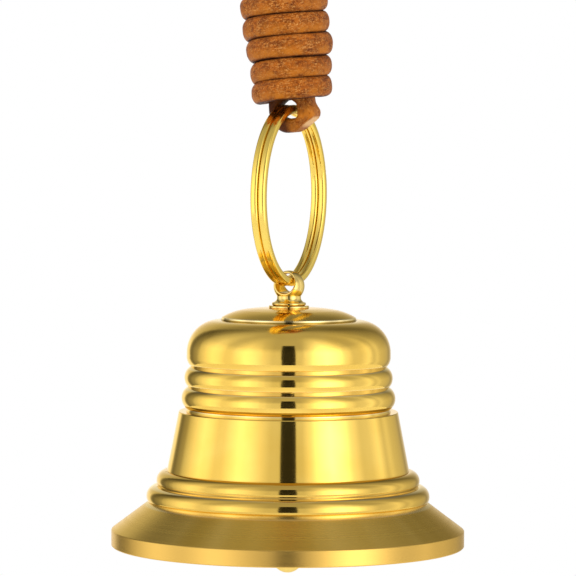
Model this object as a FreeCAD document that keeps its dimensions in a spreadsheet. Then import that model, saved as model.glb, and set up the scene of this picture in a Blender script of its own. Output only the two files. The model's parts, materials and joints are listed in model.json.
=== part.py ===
import FreeCAD, Part
import math
import os
import re
import Sketcher
from FreeCAD import Placement, Rotation, Vector

# A small turned brass handbell. The bell is clamped to an eye bolt, the eye bolt hangs on a
# double-turn split ring, and the ring hangs in the bight of a leather lace whose two strands
# are bound with leather cord to make the grip. Above the grip the lace opens into a loop.
#
# Heights in the sheet are measured up from the plane of the bell's rim. Every piece is then
# lowered by hang_height, so the origin is the inside top of the hanging loop.

DIMENSIONS = [
    # the whole
    ("hang_height", 131.0, "rim plane to the inside top of the hanging loop"),
    # bell shell, outside, from the crown down
    ("crown_height", 39.8, "flat seat for the washer"),
    ("crown_seat_radius", 3.6, "edge of that seat"),
    ("crown_bend", 26.0, "radius of the shallow crown dome"),
    ("crown_turn_radius", 8.0, "where the dome starts to turn down"),
    ("crown_turn_height", 39.42, "height of that place"),
    ("crown_turn_curve", 10.3, "radius of the turn"),
    ("crown_edge_radius", 11.2, "where the crown disc ends"),
    ("crown_edge_height", 38.2, "height of that edge"),
    ("crown_step", 0.45, "small turned step round the crown disc"),
    ("crown_step_slope", 0.1, "how far that step leans outwards"),
    ("shoulder_start_radius", 11.75, "inner edge of the shoulder"),
    ("shoulder_radius", 17.05, "widest part of the shoulder"),
    ("shoulder_curve", 5.4, "radius of the shoulder's turn"),
    ("shoulder_side_top", 32.3, "top of the upright side"),
    ("shoulder_side_bottom", 31.5, "bottom of the upright side"),
    ("neck_groove_radius", 16.35, "groove under the shoulder"),
    ("neck_groove_height", 30.0, "height of that groove"),
    ("upper_bead_curve", 2.2, "radius of the two upper beads"),
    ("bead_groove_radius", 16.8, "groove between the upper beads"),
    ("bead_groove_height", 26.6, "height of that groove"),
    ("waist_groove_radius", 17.0, "groove above the waist"),
    ("waist_groove_height", 22.95, "height of that groove"),
    ("waist_top_radius", 18.35, "top corner of the waist"),
    ("waist_top_height", 22.5, "height of that corner"),
    ("waist_edge", 0.12, "edge break on the waist's top corner"),
    ("waist_bottom_radius", 20.25, "foot of the waist"),
    ("waist_bottom_height", 12.6, "height of the waist's foot"),
    ("lower_groove_radius", 21.75, "groove between the lower beads"),
    ("lower_groove_height", 10.1, "height of that groove"),
    ("third_bead_curve", 1.63, "radius of the third bead"),
    ("fourth_bead_curve", 1.78, "radius of the fourth bead"),
    ("flare_top_radius", 23.35, "where the flare meets the fourth bead"),
    ("flare_top_height", 7.3, "height of that line"),
    ("rim_radius", 29.5, "outside of the rim band"),
    ("rim_band_height", 2.65, "height of the rim band"),
    ("rim_edge", 0.15, "edge break on the rim band"),
    # bell shell, inside
    ("lip_inner_radius", 26.45, "mouth of the bell"),
    ("mouth_curve", 23.3, "radius of the inside flare"),
    ("inside_waist_radius", 17.3, "top of the inside flare"),
    ("inside_waist_height", 14.5, "height of that place"),
    ("inside_top_radius", 14.4, "where the inside starts to close"),
    ("inside_top_height", 30.0, "height of that place"),
    ("inside_dome_curve", 7.38, "radius of the inside dome"),
    ("inside_flat_radius", 7.15, "flat under the crown"),
    ("inside_flat_height", 36.0, "underside of the crown"),
    ("bolt_bore_radius", 1.6, "hole through the crown"),
    # eye bolt
    ("eye_ball_radius", 2.6, "ball head"),
    ("eye_ball_height", 43.45, "centre of the ball head"),
    ("eye_hole_radius", 1.65, "cross hole"),
    ("eye_hole_height", 43.9, "centre of the cross hole"),
    ("eye_hole_edge", 0.2, "rounding of the hole's two mouths"),
    ("eye_yaw", 24.5, "direction of the hole, degrees from front to left"),
    ("neck_radius", 2.0, "neck under the ball"),
    ("neck_foot_height", 41.35, "foot of the neck"),
    ("collar_radius", 2.85, "collar"),
    ("collar_height", 0.55, "thickness of the collar"),
    ("shank_radius", 1.5, "M3 threaded shank"),
    ("shank_end_height", 30.5, "lower end of the shank"),
    ("thread_chamfer", 0.3, "chamfer on the end of a thread"),
    # washers and nut on the shank
    ("washer_bore_radius", 1.6, "bore of the washers"),
    ("washer_edge", 0.08, "edge break of the washers"),
    ("crown_washer_radius", 3.35, "washer on the crown"),
    ("crown_washer_thickness", 0.4, "thickness of it"),
    ("inner_washer_radius", 3.5, "washer under the crown"),
    ("inner_washer_thickness", 0.5, "thickness of it"),
    ("lock_washer_radius", 3.0, "split spring washer"),
    ("lock_washer_bore", 1.55, "bore radius of it"),
    ("lock_washer_thickness", 0.8, "thickness of it, clamped flat"),
    ("lock_washer_split", 0.5, "width of its cut"),
    ("nut_across_flats", 5.5, "M3 nuts"),
    ("nut_height", 2.4, "M3 nut"),
    ("nut_bore_radius", 1.53, "thread of the nuts"),
    ("nut_turning_room", 0.3, "how far the chamfer's cut reaches past a nut's corners"),
    # clapper hanger
    ("hanger_radius", 2.6, "round body of the hanger"),
    ("hanger_body_height", 2.7, "height of the round body"),
    ("hanger_bore_depth", 2.0, "threaded hole in its top"),
    ("hanger_top_edge", 0.15, "edge break on its top"),
    ("hanger_foot_chamfer", 0.5, "chamfer on its foot"),
    ("hanger_hole_height", 27.6, "centre of the hole in the tongue"),
    ("tongue_thickness", 1.8, "tongue of the hanger and eye of the rod"),
    ("tongue_radius", 2.0, "round end of the tongue and of the rod's eye"),
    ("tongue_root_radius", 1.8, "half the tongue's width where it meets its round body"),
    ("tongue_overlap", 0.3, "how far the tongue runs into the hanger's body"),
    ("link_hole_radius", 1.0, "holes that the link runs through"),
    # clapper link
    ("link_radius", 3.2, "centre line of the link ring"),
    ("link_wire_radius", 0.6, "its wire"),
    ("link_drop", 0.19, "how far the link's wire lies below the hole's centre"),
    # clapper
    ("rod_radius", 1.5, "clapper rod and its thread"),
    ("rod_shoulder_drop", 2.6, "top of the round rod below the middle of its eye"),
    ("rod_eye_drop", 3.6, "foot of the flat eye below its middle"),
    ("rod_collar_radius", 2.3, "collar that the ball is screwed up to"),
    ("rod_collar_height", 1.2, "height of it"),
    ("rod_collar_edge", 0.2, "edge break on it"),
    ("rod_end_height", -3.3, "lower end of the rod's thread"),
    ("ball_radius", 5.0, "clapper ball"),
    ("ball_height", 4.0, "centre of the ball"),
    ("ball_flat_radius", 2.4, "flat faces at the ends of its bore"),
    ("ball_bore_radius", 1.55, "bore of the ball"),
    ("cap_nut_hex_height", 2.0, "hexagon of the cap nut"),
    ("cap_nut_height", 4.22, "whole cap nut"),
    ("cap_nut_dome_radius", 2.65, "dome of the cap nut"),
    ("cap_nut_overlap", 0.2, "how far the dome runs up into the hexagon"),
    ("cap_nut_drill_room", 0.3, "depth of the bore past the rod's end"),
    # split ring
    ("ring_outer_radius", 15.1, "split ring, outside"),
    ("ring_wire_depth", 1.5, "its wire, across the ring's plane inwards"),
    ("ring_wire_width", 1.275, "its wire, along the ring's axis"),
    ("ring_wire_corner", 0.5, "rounding of the wire's corners"),
    ("ring_turn_gap", 0.05, "gap between the two turns"),
    ("ring_centre_height", 58.53, "centre of the ring"),
    ("ring_yaw", 20.5, "direction of the ring's plane, degrees from front to left"),
    ("ring_cross_start", 6.0, "where the wire starts to cross over, degrees from the top"),
    ("ring_cross_angle", 28.0, "how far round the crossing takes"),
    ("ring_end_gap", 1.0, "degrees between a wire end and the crossing"),
    # leather
    ("handle_lean", 5.8, "lean of the grip, degrees"),
    ("lace_thickness", 2.5, "lace, through its thickness"),
    ("lace_width", 4.8, "lace, across its width"),
    ("lace_corner", 0.7, "rounding of the lace's edges"),
    ("bight_inner_radius", 1.65, "inside of the bight that holds the ring"),
    ("binding_start", 1.6, "lower end of the binding above the ring's wire"),
    ("binding_pitch", 3.5, "height of one turn of the binding"),
    ("binding_turns", 9, "turns of the binding"),
    ("binding_inner_radius", 4.8, "inside of the binding"),
    ("binding_outer_radius", 7.1, "outside of the binding"),
    ("binding_crease", 0.8, "depth of the crease between two turns"),
    ("loop_half_width", 7.6, "hanging loop, middle of the lace"),
    ("loop_straight", 14.5, "length of the loop's upright sides below its top"),
    ("loop_bend", 11.0, "radius of the bends where the loop opens"),
    ("loop_start", 2.6, "start of those bends above the binding"),
]

ALIASES = {alias for alias, _, _ in DIMENSIONS}

doc = FreeCAD.newDocument("handbell")
sheet = doc.addObject("Spreadsheet::Sheet", "Dims")
for row, (alias, value, note) in enumerate(DIMENSIONS, start=1):
    sheet.set(f"A{row}", alias)
    sheet.set(f"B{row}", str(value))
    sheet.set(f"C{row}", note)
    sheet.setAlias(f"B{row}", alias)
doc.recompute()

pieces = []


def dim(alias):
    """One value of the sheet."""
    return float(sheet.get(alias))


def rebuild():
    """Recomputes the document and stops at the first object that failed."""
    doc.recompute()
    for item in doc.Objects:
        if {"Invalid", "Error"} & set(item.State):
            raise RuntimeError(f"{item.Name} failed: {item.State} {item.getStatusString()}")


def d(expression):
    """Writes an expression in the sheet's aliases the way the document wants it."""
    return re.sub(r"[a-z_]+", lambda w: f"Dims.{w[0]}" if w[0] in ALIASES else w[0], expression)


# ---------------------------------------------------------------- bodies, sketches, features


def new_body(name, yaw=None):
    """A body placed with its origin over the rim's centre, turned about Z by the sheet's yaw."""
    body = doc.addObject("PartDesign::Body", name)
    body.Label = name
    if yaw:
        body.Placement = Placement(Vector(0, 0, 0), Rotation(Vector(0, 0, 1), 1))
        body.setExpression(".Placement.Rotation.Angle", d(f"- {yaw} * 1 deg"))
    body.setExpression(".Placement.Base.z", d("- hang_height"))
    pieces.append(body)
    return body


def new_sketch(body, name, role, height=None):
    """A sketch on one of the body's own origin planes, raised along that plane's normal."""
    sketch = body.newObject("Sketcher::SketchObject", name)
    plane = next(p for p in body.Origin.OriginFeatures if p.Role == role)
    sketch.AttachmentSupport = (plane, [""])
    sketch.MapMode = "FlatFace"
    if height:
        sketch.setExpression(".AttachmentOffset.Base.z", d(height))
    return sketch


def hold(sketch, kind, geometry, point, expression):
    """Fixes one coordinate of a point to an expression."""
    value = sketch.evalExpression(d(expression))
    if abs(value) < 1e-9:
        axis = -2 if kind == "DistanceX" else -1
        sketch.addConstraint(Sketcher.Constraint("PointOnObject", geometry, point, axis))
        return
    index = sketch.addConstraint(Sketcher.Constraint(kind, -1, 1, geometry, point, value))
    sketch.setExpression(f"Constraints[{index}]", d(expression))


def arc_through(start, end, radius):
    """The shorter arc from start to end. A positive radius turns left on the way, negative right."""
    chord = end - start
    half = chord.Length / 2
    rise = math.sqrt(max(radius * radius - half * half, 0.0))
    left = Vector(-chord.y, chord.x, 0).normalize()
    centre = start + chord * 0.5 + left * math.copysign(rise, radius)
    first, last = (start, end) if radius > 0 else (end, start)
    a0 = math.atan2(first.y - centre.y, first.x - centre.x)
    a1 = math.atan2(last.y - centre.y, last.x - centre.x)
    circle = Part.Circle(centre, Vector(0, 0, 1), abs(radius))
    return Part.ArcOfCircle(circle, a0, a1 if a1 > a0 else a1 + 2 * math.pi)


def outline(sketch, corners):
    """A closed outline. A corner is (x, y), or (x, y, radius, turn) where an arc leads to the
    next corner: turn is 1 for a left turn and -1 for a right turn. All are expressions."""
    places = [
        Vector(sketch.evalExpression(d(c[0])), sketch.evalExpression(d(c[1])), 0) for c in corners
    ]
    ends = []
    for i, corner in enumerate(corners):
        start, end = places[i], places[(i + 1) % len(corners)]
        if len(corner) == 2:
            edge = sketch.addGeometry(Part.LineSegment(start, end), False)
            ends.append((edge, 1, 2))
            continue
        radius = sketch.evalExpression(d(corner[2]))
        edge = sketch.addGeometry(arc_through(start, end, radius * corner[3]), False)
        ends.append((edge, 1, 2) if corner[3] > 0 else (edge, 2, 1))
    for i, (edge, start, end) in enumerate(ends):
        following, its_start, _ = ends[(i + 1) % len(ends)]
        sketch.addConstraint(
            Sketcher.Constraint("Coincident", edge, end, following, its_start)
        )
    for corner, (edge, start, end) in zip(corners, ends):
        hold(sketch, "DistanceX", edge, start, corner[0])
        hold(sketch, "DistanceY", edge, start, corner[1])
        if len(corner) > 2:
            radius = sketch.evalExpression(d(corner[2]))
            index = sketch.addConstraint(Sketcher.Constraint("Radius", edge, radius))
            sketch.setExpression(f"Constraints[{index}]", d(corner[2]))


def circle(sketch, x, y, radius):
    """A circle with its centre and radius bound to expressions."""
    centre = Vector(sketch.evalExpression(d(x)), sketch.evalExpression(d(y)), 0)
    size = sketch.evalExpression(d(radius))
    edge = sketch.addGeometry(Part.Circle(centre, Vector(0, 0, 1), size), False)
    hold(sketch, "DistanceX", edge, 3, x)
    hold(sketch, "DistanceY", edge, 3, y)
    index = sketch.addConstraint(Sketcher.Constraint("Radius", edge, size))
    sketch.setExpression(f"Constraints[{index}]", d(radius))


def turn(body, name, corners, feature="PartDesign::Revolution"):
    """Turns an outline, given as radius and height, about the vertical axis."""
    sketch = new_sketch(body, f"{name}_outline", "XZ_Plane")
    outline(sketch, corners)
    turned = body.newObject(feature, name)
    turned.Profile = sketch
    turned.ReferenceAxis = (sketch, ["V_Axis"])
    turned.Angle = 360
    rebuild()
    return turned


def pad(body, name, sketch, length, midplane=False, downward=False):
    """Pads a sketch by an expression."""
    feature = body.newObject("PartDesign::Pad", name)
    feature.Profile = sketch
    feature.setExpression("Length", d(length))
    feature.Midplane = midplane
    feature.Reversed = downward
    rebuild()
    return feature


def cut_through(body, name, sketch):
    """Pockets a sketch right through the body, both ways, and makes sure that it cuts."""
    before = body.Shape.Volume
    feature = body.newObject("PartDesign::Pocket", name)
    feature.Profile = sketch
    feature.Type = "ThroughAll"
    feature.Midplane = True
    rebuild()
    if body.Shape.Volume > before - 1e-6:
        raise RuntimeError(f"{name} cuts nothing")
    return feature


def hexagon(sketch, across_flats):
    """A regular hexagon round the origin."""
    corners = [
        (
            f"{across_flats} / sqrt(3) * cos({60 * i} deg)",
            f"{across_flats} / sqrt(3) * sin({60 * i} deg)",
        )
        for i in range(6)
    ]
    outline(sketch, corners)


def break_corners(body, name, height, upward):
    """Turns the corners off one end of a hexagon, 30 degrees to the face."""
    flat = "nut_across_flats / 2"
    corner = "nut_across_flats / sqrt(3) + nut_turning_room"
    slope = f"( {corner} - {flat} ) * tan(30 deg)"
    sign = "-" if upward else "+"
    turn(
        body,
        name,
        [(flat, height), (corner, height), (corner, f"{height} {sign} {slope}")],
        "PartDesign::Groove",
    )


# ---------------------------------------------------------------- the bell


def bell_shell():
    """One turned piece: crown, shoulder, two beads, waist, two beads, flare and rim band."""
    body = new_body("bell_shell")
    turn(
        body,
        "shell",
        [
            ("bolt_bore_radius", "crown_height"),
            ("crown_seat_radius", "crown_height", "crown_bend", -1),
            ("crown_turn_radius", "crown_turn_height", "crown_turn_curve", -1),
            ("crown_edge_radius", "crown_edge_height"),
            ("crown_edge_radius + crown_step_slope", "crown_edge_height - crown_step"),
            ("shoulder_start_radius", "crown_edge_height - crown_step", "shoulder_curve", -1),
            ("shoulder_radius", "shoulder_side_top"),
            ("shoulder_radius", "shoulder_side_bottom", "upper_bead_curve", -1),
            ("neck_groove_radius", "neck_groove_height", "upper_bead_curve", -1),
            ("bead_groove_radius", "bead_groove_height", "upper_bead_curve", -1),
            ("waist_groove_radius", "waist_groove_height"),
            ("waist_groove_radius + waist_edge", "waist_top_height"),
            ("waist_top_radius - waist_edge", "waist_top_height"),
            ("waist_top_radius", "waist_top_height - waist_edge"),
            ("waist_bottom_radius", "waist_bottom_height", "third_bead_curve", -1),
            ("lower_groove_radius", "lower_groove_height", "fourth_bead_curve", -1),
            ("flare_top_radius", "flare_top_height"),
            ("rim_radius - rim_edge", "rim_band_height + rim_edge", "rim_edge * 2", -1),
            ("rim_radius", "rim_band_height - rim_edge"),
            ("rim_radius", "rim_edge"),
            ("rim_radius - rim_edge", "0"),
            ("lip_inner_radius + rim_edge", "0"),
            ("lip_inner_radius", "rim_edge", "mouth_curve", -1),
            ("inside_waist_radius", "inside_waist_height"),
            ("inside_top_radius", "inside_top_height", "inside_dome_curve", 1),
            ("inside_flat_radius", "inside_flat_height"),
            ("bolt_bore_radius", "inside_flat_height"),
        ],
    )


def eye_bolt():
    """Ball head with a cross hole for the split ring, neck, collar and threaded shank."""
    body = new_body("eye_bolt", "eye_yaw")
    seat = "crown_height + crown_washer_thickness"
    inner_collar = "collar_radius - collar_height / 2"
    ball_foot = "eye_ball_height - sqrt(eye_ball_radius ^ 2 - neck_radius ^ 2)"
    turn(
        body,
        "bolt",
        [
            ("0", "eye_ball_height + eye_ball_radius", "eye_ball_radius", -1),
            ("eye_ball_radius", "eye_ball_height", "eye_ball_radius", -1),
            ("neck_radius", ball_foot),
            ("neck_radius", "neck_foot_height", "collar_radius - neck_radius", 1),
            (inner_collar, f"{seat} + collar_height", "collar_height / 2", -1),
            ("collar_radius", f"{seat} + collar_height / 2", "collar_height / 2", -1),
            (inner_collar, seat),
            ("shank_radius", seat),
            ("shank_radius", "shank_end_height + thread_chamfer"),
            ("shank_radius - thread_chamfer", "shank_end_height"),
            ("0", "shank_end_height"),
        ],
    )
    hole = new_sketch(body, "eye_hole_outline", "XZ_Plane")
    circle(hole, "0", "eye_hole_height", "eye_hole_radius")
    drilled = cut_through(body, "eye_hole", hole)
    edges = enumerate(drilled.Shape.Edges, start=1)
    mouths = [f"Edge{i}" for i, edge in edges if is_mouth(edge)]
    rounding = body.newObject("PartDesign::Fillet", "eye_hole_rounding")
    rounding.Base = (drilled, mouths)
    rounding.setExpression("Radius", d("eye_hole_edge"))
    rebuild()


def is_mouth(edge):
    """True for an edge of the eye bolt that runs round the mouth of its cross hole."""
    if edge.Degenerated or edge.Curve.TypeId == "Part::GeomLine":
        return False
    height, radius = dim("eye_hole_height"), dim("eye_hole_radius")
    points = edge.discretize(7)
    return all(abs(math.hypot(p.x, p.z - height) - radius) < 1e-4 for p in points)


def flat_washer(name, radius, bore, thickness, top):
    """A plain flat washer whose upper face is at the height top."""
    body = new_body(name)
    turn(
        body,
        f"{name}_ring",
        [
            (bore, top),
            (f"{radius} - washer_edge", top),
            (radius, f"{top} - washer_edge"),
            (radius, f"{top} - {thickness} + washer_edge"),
            (f"{radius} - washer_edge", f"{top} - {thickness}"),
            (bore, f"{top} - {thickness}"),
        ],
    )
    return body


def lock_washer(top):
    """A spring washer, clamped flat, with its slanting cut drawn as a straight one."""
    body = flat_washer(
        "lock_washer", "lock_washer_radius", "lock_washer_bore", "lock_washer_thickness", top
    )
    slot = new_sketch(body, "lock_washer_slot", "XY_Plane")
    outline(
        slot,
        [
            ("0", "lock_washer_split / 2"),
            ("0", "- lock_washer_split / 2"),
            ("lock_washer_radius * 2", "- lock_washer_split / 2"),
            ("lock_washer_radius * 2", "lock_washer_split / 2"),
        ],
    )
    cut_through(body, "lock_washer_cut", slot)


def crown_nut(top):
    """M3 hexagon nut, chamfered on both faces."""
    body = new_body("crown_nut")
    bottom = f"{top} - nut_height"
    sketch = new_sketch(body, "crown_nut_outline", "XY_Plane", bottom)
    hexagon(sketch, "nut_across_flats")
    pad(body, "crown_nut_hexagon", sketch, "nut_height")
    break_corners(body, "crown_nut_upper_chamfer", top, True)
    break_corners(body, "crown_nut_lower_chamfer", bottom, False)
    bore = new_sketch(body, "crown_nut_bore_outline", "XY_Plane", bottom)
    circle(bore, "0", "0", "nut_bore_radius")
    cut_through(body, "crown_nut_bore", bore)


def drilled_tongue(body, name, hole_height, root_height, upward):
    """Pads a flat tongue with a round end and drills it along X for the link."""
    tongue = new_sketch(body, f"{name}_outline", "YZ_Plane")
    side = 1 if upward else -1
    outline(
        tongue,
        [
            ("- tongue_radius", hole_height, "tongue_radius", side),
            ("0", f"{hole_height} - {side} * tongue_radius", "tongue_radius", side),
            ("tongue_radius", hole_height),
            ("tongue_root_radius", root_height),
            ("- tongue_root_radius", root_height),
        ],
    )
    pad(body, name, tongue, "tongue_thickness", midplane=True)
    hole = new_sketch(body, f"{name}_hole_outline", "YZ_Plane")
    circle(hole, "0", hole_height, "link_hole_radius")
    cut_through(body, f"{name}_hole", hole)


def clapper_hanger(top):
    """Round body screwed on the shank against the nut, with a drilled tongue below."""
    body = new_body("clapper_hanger")
    bottom = f"{top} - hanger_body_height"
    turn(
        body,
        "hanger_body",
        [
            ("nut_bore_radius", top),
            ("hanger_radius - hanger_top_edge", top),
            ("hanger_radius", f"{top} - hanger_top_edge"),
            ("hanger_radius", f"{bottom} + hanger_foot_chamfer"),
            ("hanger_radius - hanger_foot_chamfer", bottom),
            ("0", bottom),
            ("0", f"{top} - hanger_bore_depth"),
            ("nut_bore_radius", f"{top} - hanger_bore_depth"),
        ],
    )
    root = f"{bottom} + tongue_overlap"
    drilled_tongue(body, "hanger_tongue", "hanger_hole_height", root, True)


# ---------------------------------------------------------------- link and clapper


def clapper_link():
    """Closed ring of wire, standing in the X-Z plane through the hanger's hole."""
    ring = doc.addObject("Part::Torus", "clapper_link")
    ring.Label = "clapper_link"
    ring.setExpression("Radius1", d("link_radius"))
    ring.setExpression("Radius2", d("link_wire_radius"))
    ring.Placement = Placement(Vector(0, 0, 0), Rotation(Vector(1, 0, 0), 90))
    ring.setExpression(".Placement.Base.z", d(f"{LINK_HEIGHT} - hang_height"))
    pieces.append(ring)


def clapper_rod():
    """Rod with a drilled eye at the top, a collar above the ball and a thread below it."""
    body = new_body("clapper_rod")
    collar = f"ball_height + {BALL_FLAT_RISE}"
    turn(
        body,
        "rod",
        [
            ("0", f"{ROD_EYE_HEIGHT} - rod_shoulder_drop"),
            ("rod_radius", f"{ROD_EYE_HEIGHT} - rod_shoulder_drop"),
            ("rod_radius", f"{collar} + rod_collar_height"),
            ("rod_collar_radius - rod_collar_edge", f"{collar} + rod_collar_height"),
            ("rod_collar_radius", f"{collar} + rod_collar_height - rod_collar_edge"),
            ("rod_collar_radius", collar),
            ("rod_radius", collar),
            ("rod_radius", "rod_end_height + thread_chamfer"),
            ("rod_radius - thread_chamfer", "rod_end_height"),
            ("0", "rod_end_height"),
        ],
    )
    drilled_tongue(body, "rod_eye", ROD_EYE_HEIGHT, f"{ROD_EYE_HEIGHT} - rod_eye_drop", False)


def clapper_ball():
    """Turned ball with a flat face at each end of its bore."""
    body = new_body("clapper_ball")
    turn(
        body,
        "ball",
        [
            ("ball_bore_radius", f"ball_height + {BALL_FLAT_RISE}"),
            (
                "ball_flat_radius",
                f"ball_height + {BALL_FLAT_RISE}",
                "ball_radius",
                -1,
            ),
            ("ball_radius", "ball_height", "ball_radius", -1),
            ("ball_flat_radius", f"ball_height - {BALL_FLAT_RISE}"),
            ("ball_bore_radius", f"ball_height - {BALL_FLAT_RISE}"),
        ],
    )


def clapper_cap_nut():
    """Domed nut that holds the ball on the rod. Its dome shows under the rim."""
    body = new_body("clapper_cap_nut")
    top = f"ball_height - {BALL_FLAT_RISE}"
    hex_bottom = f"{top} - cap_nut_hex_height"
    sketch = new_sketch(body, "cap_nut_outline", "XY_Plane", hex_bottom)
    hexagon(sketch, "nut_across_flats")
    pad(body, "cap_nut_hexagon", sketch, "cap_nut_hex_height")
    break_corners(body, "cap_nut_chamfer", top, True)
    dome_rise = "( cap_nut_height - cap_nut_hex_height )"
    spread = f"sqrt({dome_rise} * ( 2 * cap_nut_dome_radius - {dome_rise} ))"
    turn(
        body,
        "cap_nut_dome",
        [
            ("0", f"{hex_bottom} + cap_nut_overlap"),
            ("0", f"{top} - cap_nut_height", "cap_nut_dome_radius", 1),
            (spread, hex_bottom),
            (spread, f"{hex_bottom} + cap_nut_overlap"),
        ],
    )
    bore_end = "rod_end_height - cap_nut_drill_room"
    turn(
        body,
        "cap_nut_bore",
        [
            ("0", top),
            ("0", bore_end),
            ("nut_bore_radius", "rod_end_height"),
            ("nut_bore_radius", top),
        ],
        "PartDesign::Groove",
    )


# ---------------------------------------------------------------- split ring


def rounded_section(centre, across, up, width, height, corner):
    """A closed rounded rectangle on the plane of the unit vectors across and up."""
    half_w, half_h = width / 2, height / 2
    corners = [(1, 1), (-1, 1), (-1, -1), (1, -1)]
    edges = []
    points = []
    for side, level in corners:
        middle = centre + across * side * (half_w - corner) + up * level * (half_h - corner)
        diagonal = (across * side + up * level).normalize()
        sideways = middle + across * side * corner
        upright = middle + up * level * corner
        first, last = (sideways, upright) if side == level else (upright, sideways)
        points.append((first, last))
        edges.append(Part.Arc(first, middle + diagonal * corner, last).toShape())
    for i in range(4):
        start, end = points[i][1], points[(i + 1) % 4][0]
        if start.distanceToPoint(end) > 1e-6:
            edges.append(Part.makeLine(start, end))
    return Part.Wire(Part.__sortEdges__(edges))


def split_ring():
    """Two flat turns of one wire lying side by side, with a short crossing from one to the other.
    A sweep along a path with two arcs and an S-shaped crossing, so it is made with Part."""
    middle = dim("ring_outer_radius") - dim("ring_wire_depth") / 2
    offset = (dim("ring_wire_width") + dim("ring_turn_gap")) / 2
    start = dim("ring_cross_start")
    span = dim("ring_cross_angle")
    gap = dim("ring_end_gap")

    def place(angle, side):
        a = math.radians(angle)
        return Vector(side, middle * math.sin(a), middle * math.cos(a))

    def arc(first, last, side):
        points = [place(first + (last - first) * f, side) for f in (0, 0.5, 1)]
        return Part.Arc(*points).toShape()

    def crossing():
        steps = 12
        points = []
        for i in range(steps + 1):
            f = i / steps
            smooth = f * f * f * (10 - 15 * f + 6 * f * f)
            points.append(place(start + span * f, offset * (2 * smooth - 1)))
        a, b = math.radians(start), math.radians(start + span)
        curve = Part.BSplineCurve()
        curve.interpolate(
            Points=points,
            InitialTangent=Vector(0, math.cos(a), -math.sin(a)),
            FinalTangent=Vector(0, math.cos(b), -math.sin(b)),
        )
        return curve.toShape()

    first_start = start - 360 + span + gap
    path = Part.Wire(
        [
            arc(first_start, start, -offset),
            crossing(),
            arc(start + span, start + 360 - gap, offset),
        ]
    )
    a = math.radians(first_start)
    outward = Vector(0, math.sin(a), math.cos(a))
    section = rounded_section(
        place(first_start, -offset),
        Vector(1, 0, 0),
        outward,
        dim("ring_wire_width"),
        dim("ring_wire_depth"),
        dim("ring_wire_corner"),
    )
    sweep = Part.BRepOffsetAPI.MakePipeShell(path)
    sweep.setBiNormalMode(Vector(1, 0, 0))
    sweep.add(section, False, False)
    sweep.build()
    sweep.makeSolid()
    ring = doc.addObject("Part::Feature", "split_ring")
    ring.Label = "split_ring"
    ring.Shape = sweep.shape()
    ring.Placement = Placement(
        Vector(0, 0, dim("ring_centre_height") - dim("hang_height")),
        Rotation(Vector(0, 0, 1), -dim("ring_yaw")),
    )
    pieces.append(ring)


# ---------------------------------------------------------------- leather


def rounded_route(corners):
    """A closed wire of straight runs joined by tangent arcs. A corner is (point, radius)."""
    count = len(corners)
    starts, ends, edges = [], [], []
    for i, (point, radius) in enumerate(corners):
        back = (corners[i - 1][0] - point).normalize()
        ahead = (corners[(i + 1) % count][0] - point).normalize()
        half_turn = (math.pi - back.getAngle(ahead)) / 2
        reach = radius * math.tan(half_turn)
        inward = (back + ahead).normalize()
        middle = point + inward * (radius / math.cos(half_turn) - radius)
        starts.append(point + back * reach)
        ends.append(point + ahead * reach)
        edges.append(Part.Arc(starts[-1], middle, ends[-1]).toShape())
    for i in range(count):
        start, end = ends[i], starts[(i + 1) % count]
        if start.distanceToPoint(end) > 1e-4:
            edges.append(Part.makeLine(start, end))
    return Part.Wire(Part.__sortEdges__(edges))


def leather_lace():
    """One flat lace: the bight round the split ring, two strands up through the binding, and the
    hanging loop. A band between two offset curves, so it is made with Part."""
    lean = math.radians(dim("handle_lean"))
    thickness = dim("lace_thickness")
    strand = dim("bight_inner_radius") + thickness / 2
    up = Vector(-math.sin(lean), 0, math.cos(lean))
    across = Vector(math.cos(lean), 0, math.sin(lean))
    grip_top = dim("binding_start") + dim("binding_pitch") * dim("binding_turns")
    wire_height = sheet.evalExpression(d(RING_TOP_WIRE))
    hang_point = Vector(0, 0, dim("hang_height") - wire_height)
    loop_up = (hang_point - up * grip_top).normalize()
    loop_across = Vector(loop_up.z, 0, -loop_up.x)

    def low(side, height):
        return across * (side * strand) + up * height

    def high(side, height):
        return hang_point + loop_across * (side * dim("loop_half_width")) + loop_up * height

    bend = dim("loop_bend")
    top = thickness / 2
    route = rounded_route(
        [
            (low(-1, -strand), strand),
            (low(-1, grip_top + dim("loop_start")), bend),
            (high(-1, -dim("loop_straight")), bend),
            (high(-1, top), dim("loop_half_width")),
            (high(1, top), dim("loop_half_width")),
            (high(1, -dim("loop_straight")), bend),
            (low(1, grip_top + dim("loop_start")), bend),
            (low(1, -strand), strand),
        ]
    )
    outer = route.makeOffset2D(thickness / 2)
    inner = route.makeOffset2D(-thickness / 2)
    if Part.Face(outer).Area < Part.Face(inner).Area:
        outer, inner = inner, outer
    width = dim("lace_width")
    face = Part.makeFace([outer, inner], "Part::FaceMakerBullseye")
    face.translate(Vector(0, -width / 2, 0))
    band = face.extrude(Vector(0, width, 0))
    rims = [e for e in band.Edges if all(abs(abs(v.Y) - width / 2) < 1e-6 for v in e.Vertexes)]
    flat_rims = [e for e in rims if abs(e.Vertexes[0].Y - e.Vertexes[-1].Y) < 1e-6]
    lace = doc.addObject("Part::Feature", "leather_lace")
    lace.Label = "leather_lace"
    lace.Shape = band.makeFillet(dim("lace_corner"), flat_rims)
    lace.Placement = Placement(
        Vector(0, 0, wire_height - dim("hang_height")),
        Rotation(Vector(0, 0, 1), -dim("ring_yaw")),
    )
    pieces.append(lace)
    print("lace length along its middle", round(route.Length, 1))


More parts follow.
